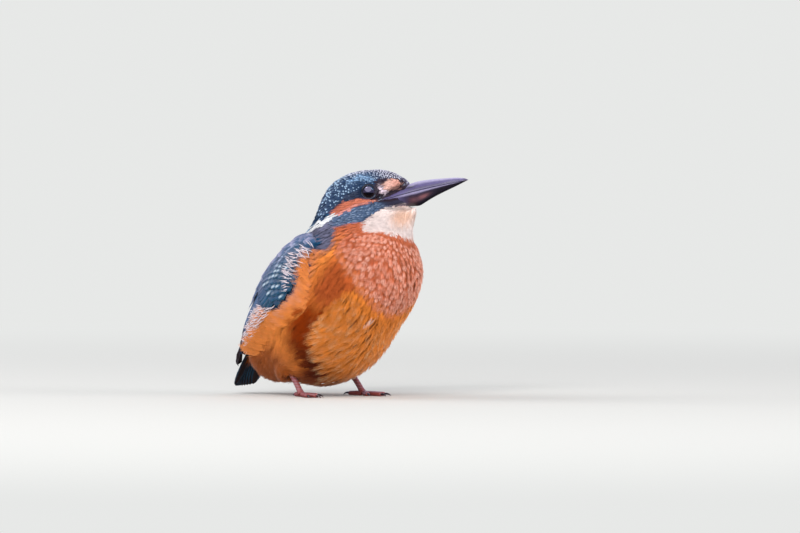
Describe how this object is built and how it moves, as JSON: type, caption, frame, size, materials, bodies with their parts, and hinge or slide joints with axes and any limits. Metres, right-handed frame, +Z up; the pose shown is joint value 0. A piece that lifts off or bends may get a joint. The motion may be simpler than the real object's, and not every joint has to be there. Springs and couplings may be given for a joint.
{
  "type": "kingfisher",
  "caption": "Life-size still kingfisher standing upright on its own feet, with a dagger bill, turned head, folded wings and short tail.",
  "frame": {"origin": "on the floor, at the centre of the bounding box", "axes": "+Z up, +X the way the breast faces, +Y to the bird's left"},
  "size_m": [0.1044, 0.0634, 0.0979],
  "materials": {
    "crown_feathers": "matt blue-black feathers with pale blue spots",
    "breast_feathers": "soft rufous feathers with paler and dusky edges",
    "wing_feathers": "glossy blue-green feathers with bright spots",
    "tail_feathers": "dull dark blue feathers",
    "eye": "wet and glossy, brown-black",
    "bill": "horny, satin, grey-black",
    "leg_skin": "scaled brown-red skin",
    "claw": "polished dark horn"
  },
  "bodies": {
    "root": {"bill_lower": "bill", "bill_upper": "bill", "claw_hind_left": "claw", "claw_hind_right": "claw", "claw_inner_left": "claw", "claw_inner_right": "claw", "claw_middle_left": "claw", "claw_middle_right": "claw", "claw_outer_left": "claw", "claw_outer_right": "claw", "eye_left": "eye", "eye_right": "eye", "head": "crown_feathers", "leg_left": "leg_skin", "leg_right": "leg_skin", "neck": "breast_feathers", "tail": "tail_feathers", "thigh_left": "breast_feathers", "thigh_right": "breast_feathers", "toe_hind_left": "leg_skin", "toe_hind_right": "leg_skin", "toe_inner_left": "leg_skin", "toe_inner_right": "leg_skin", "toe_middle_left": "leg_skin", "toe_middle_right": "leg_skin", "toe_outer_left": "leg_skin", "toe_outer_right": "leg_skin", "trunk": "breast_feathers", "wing_left": "wing_feathers", "wing_right": "wing_feathers"}
  },
  "joints": []
}
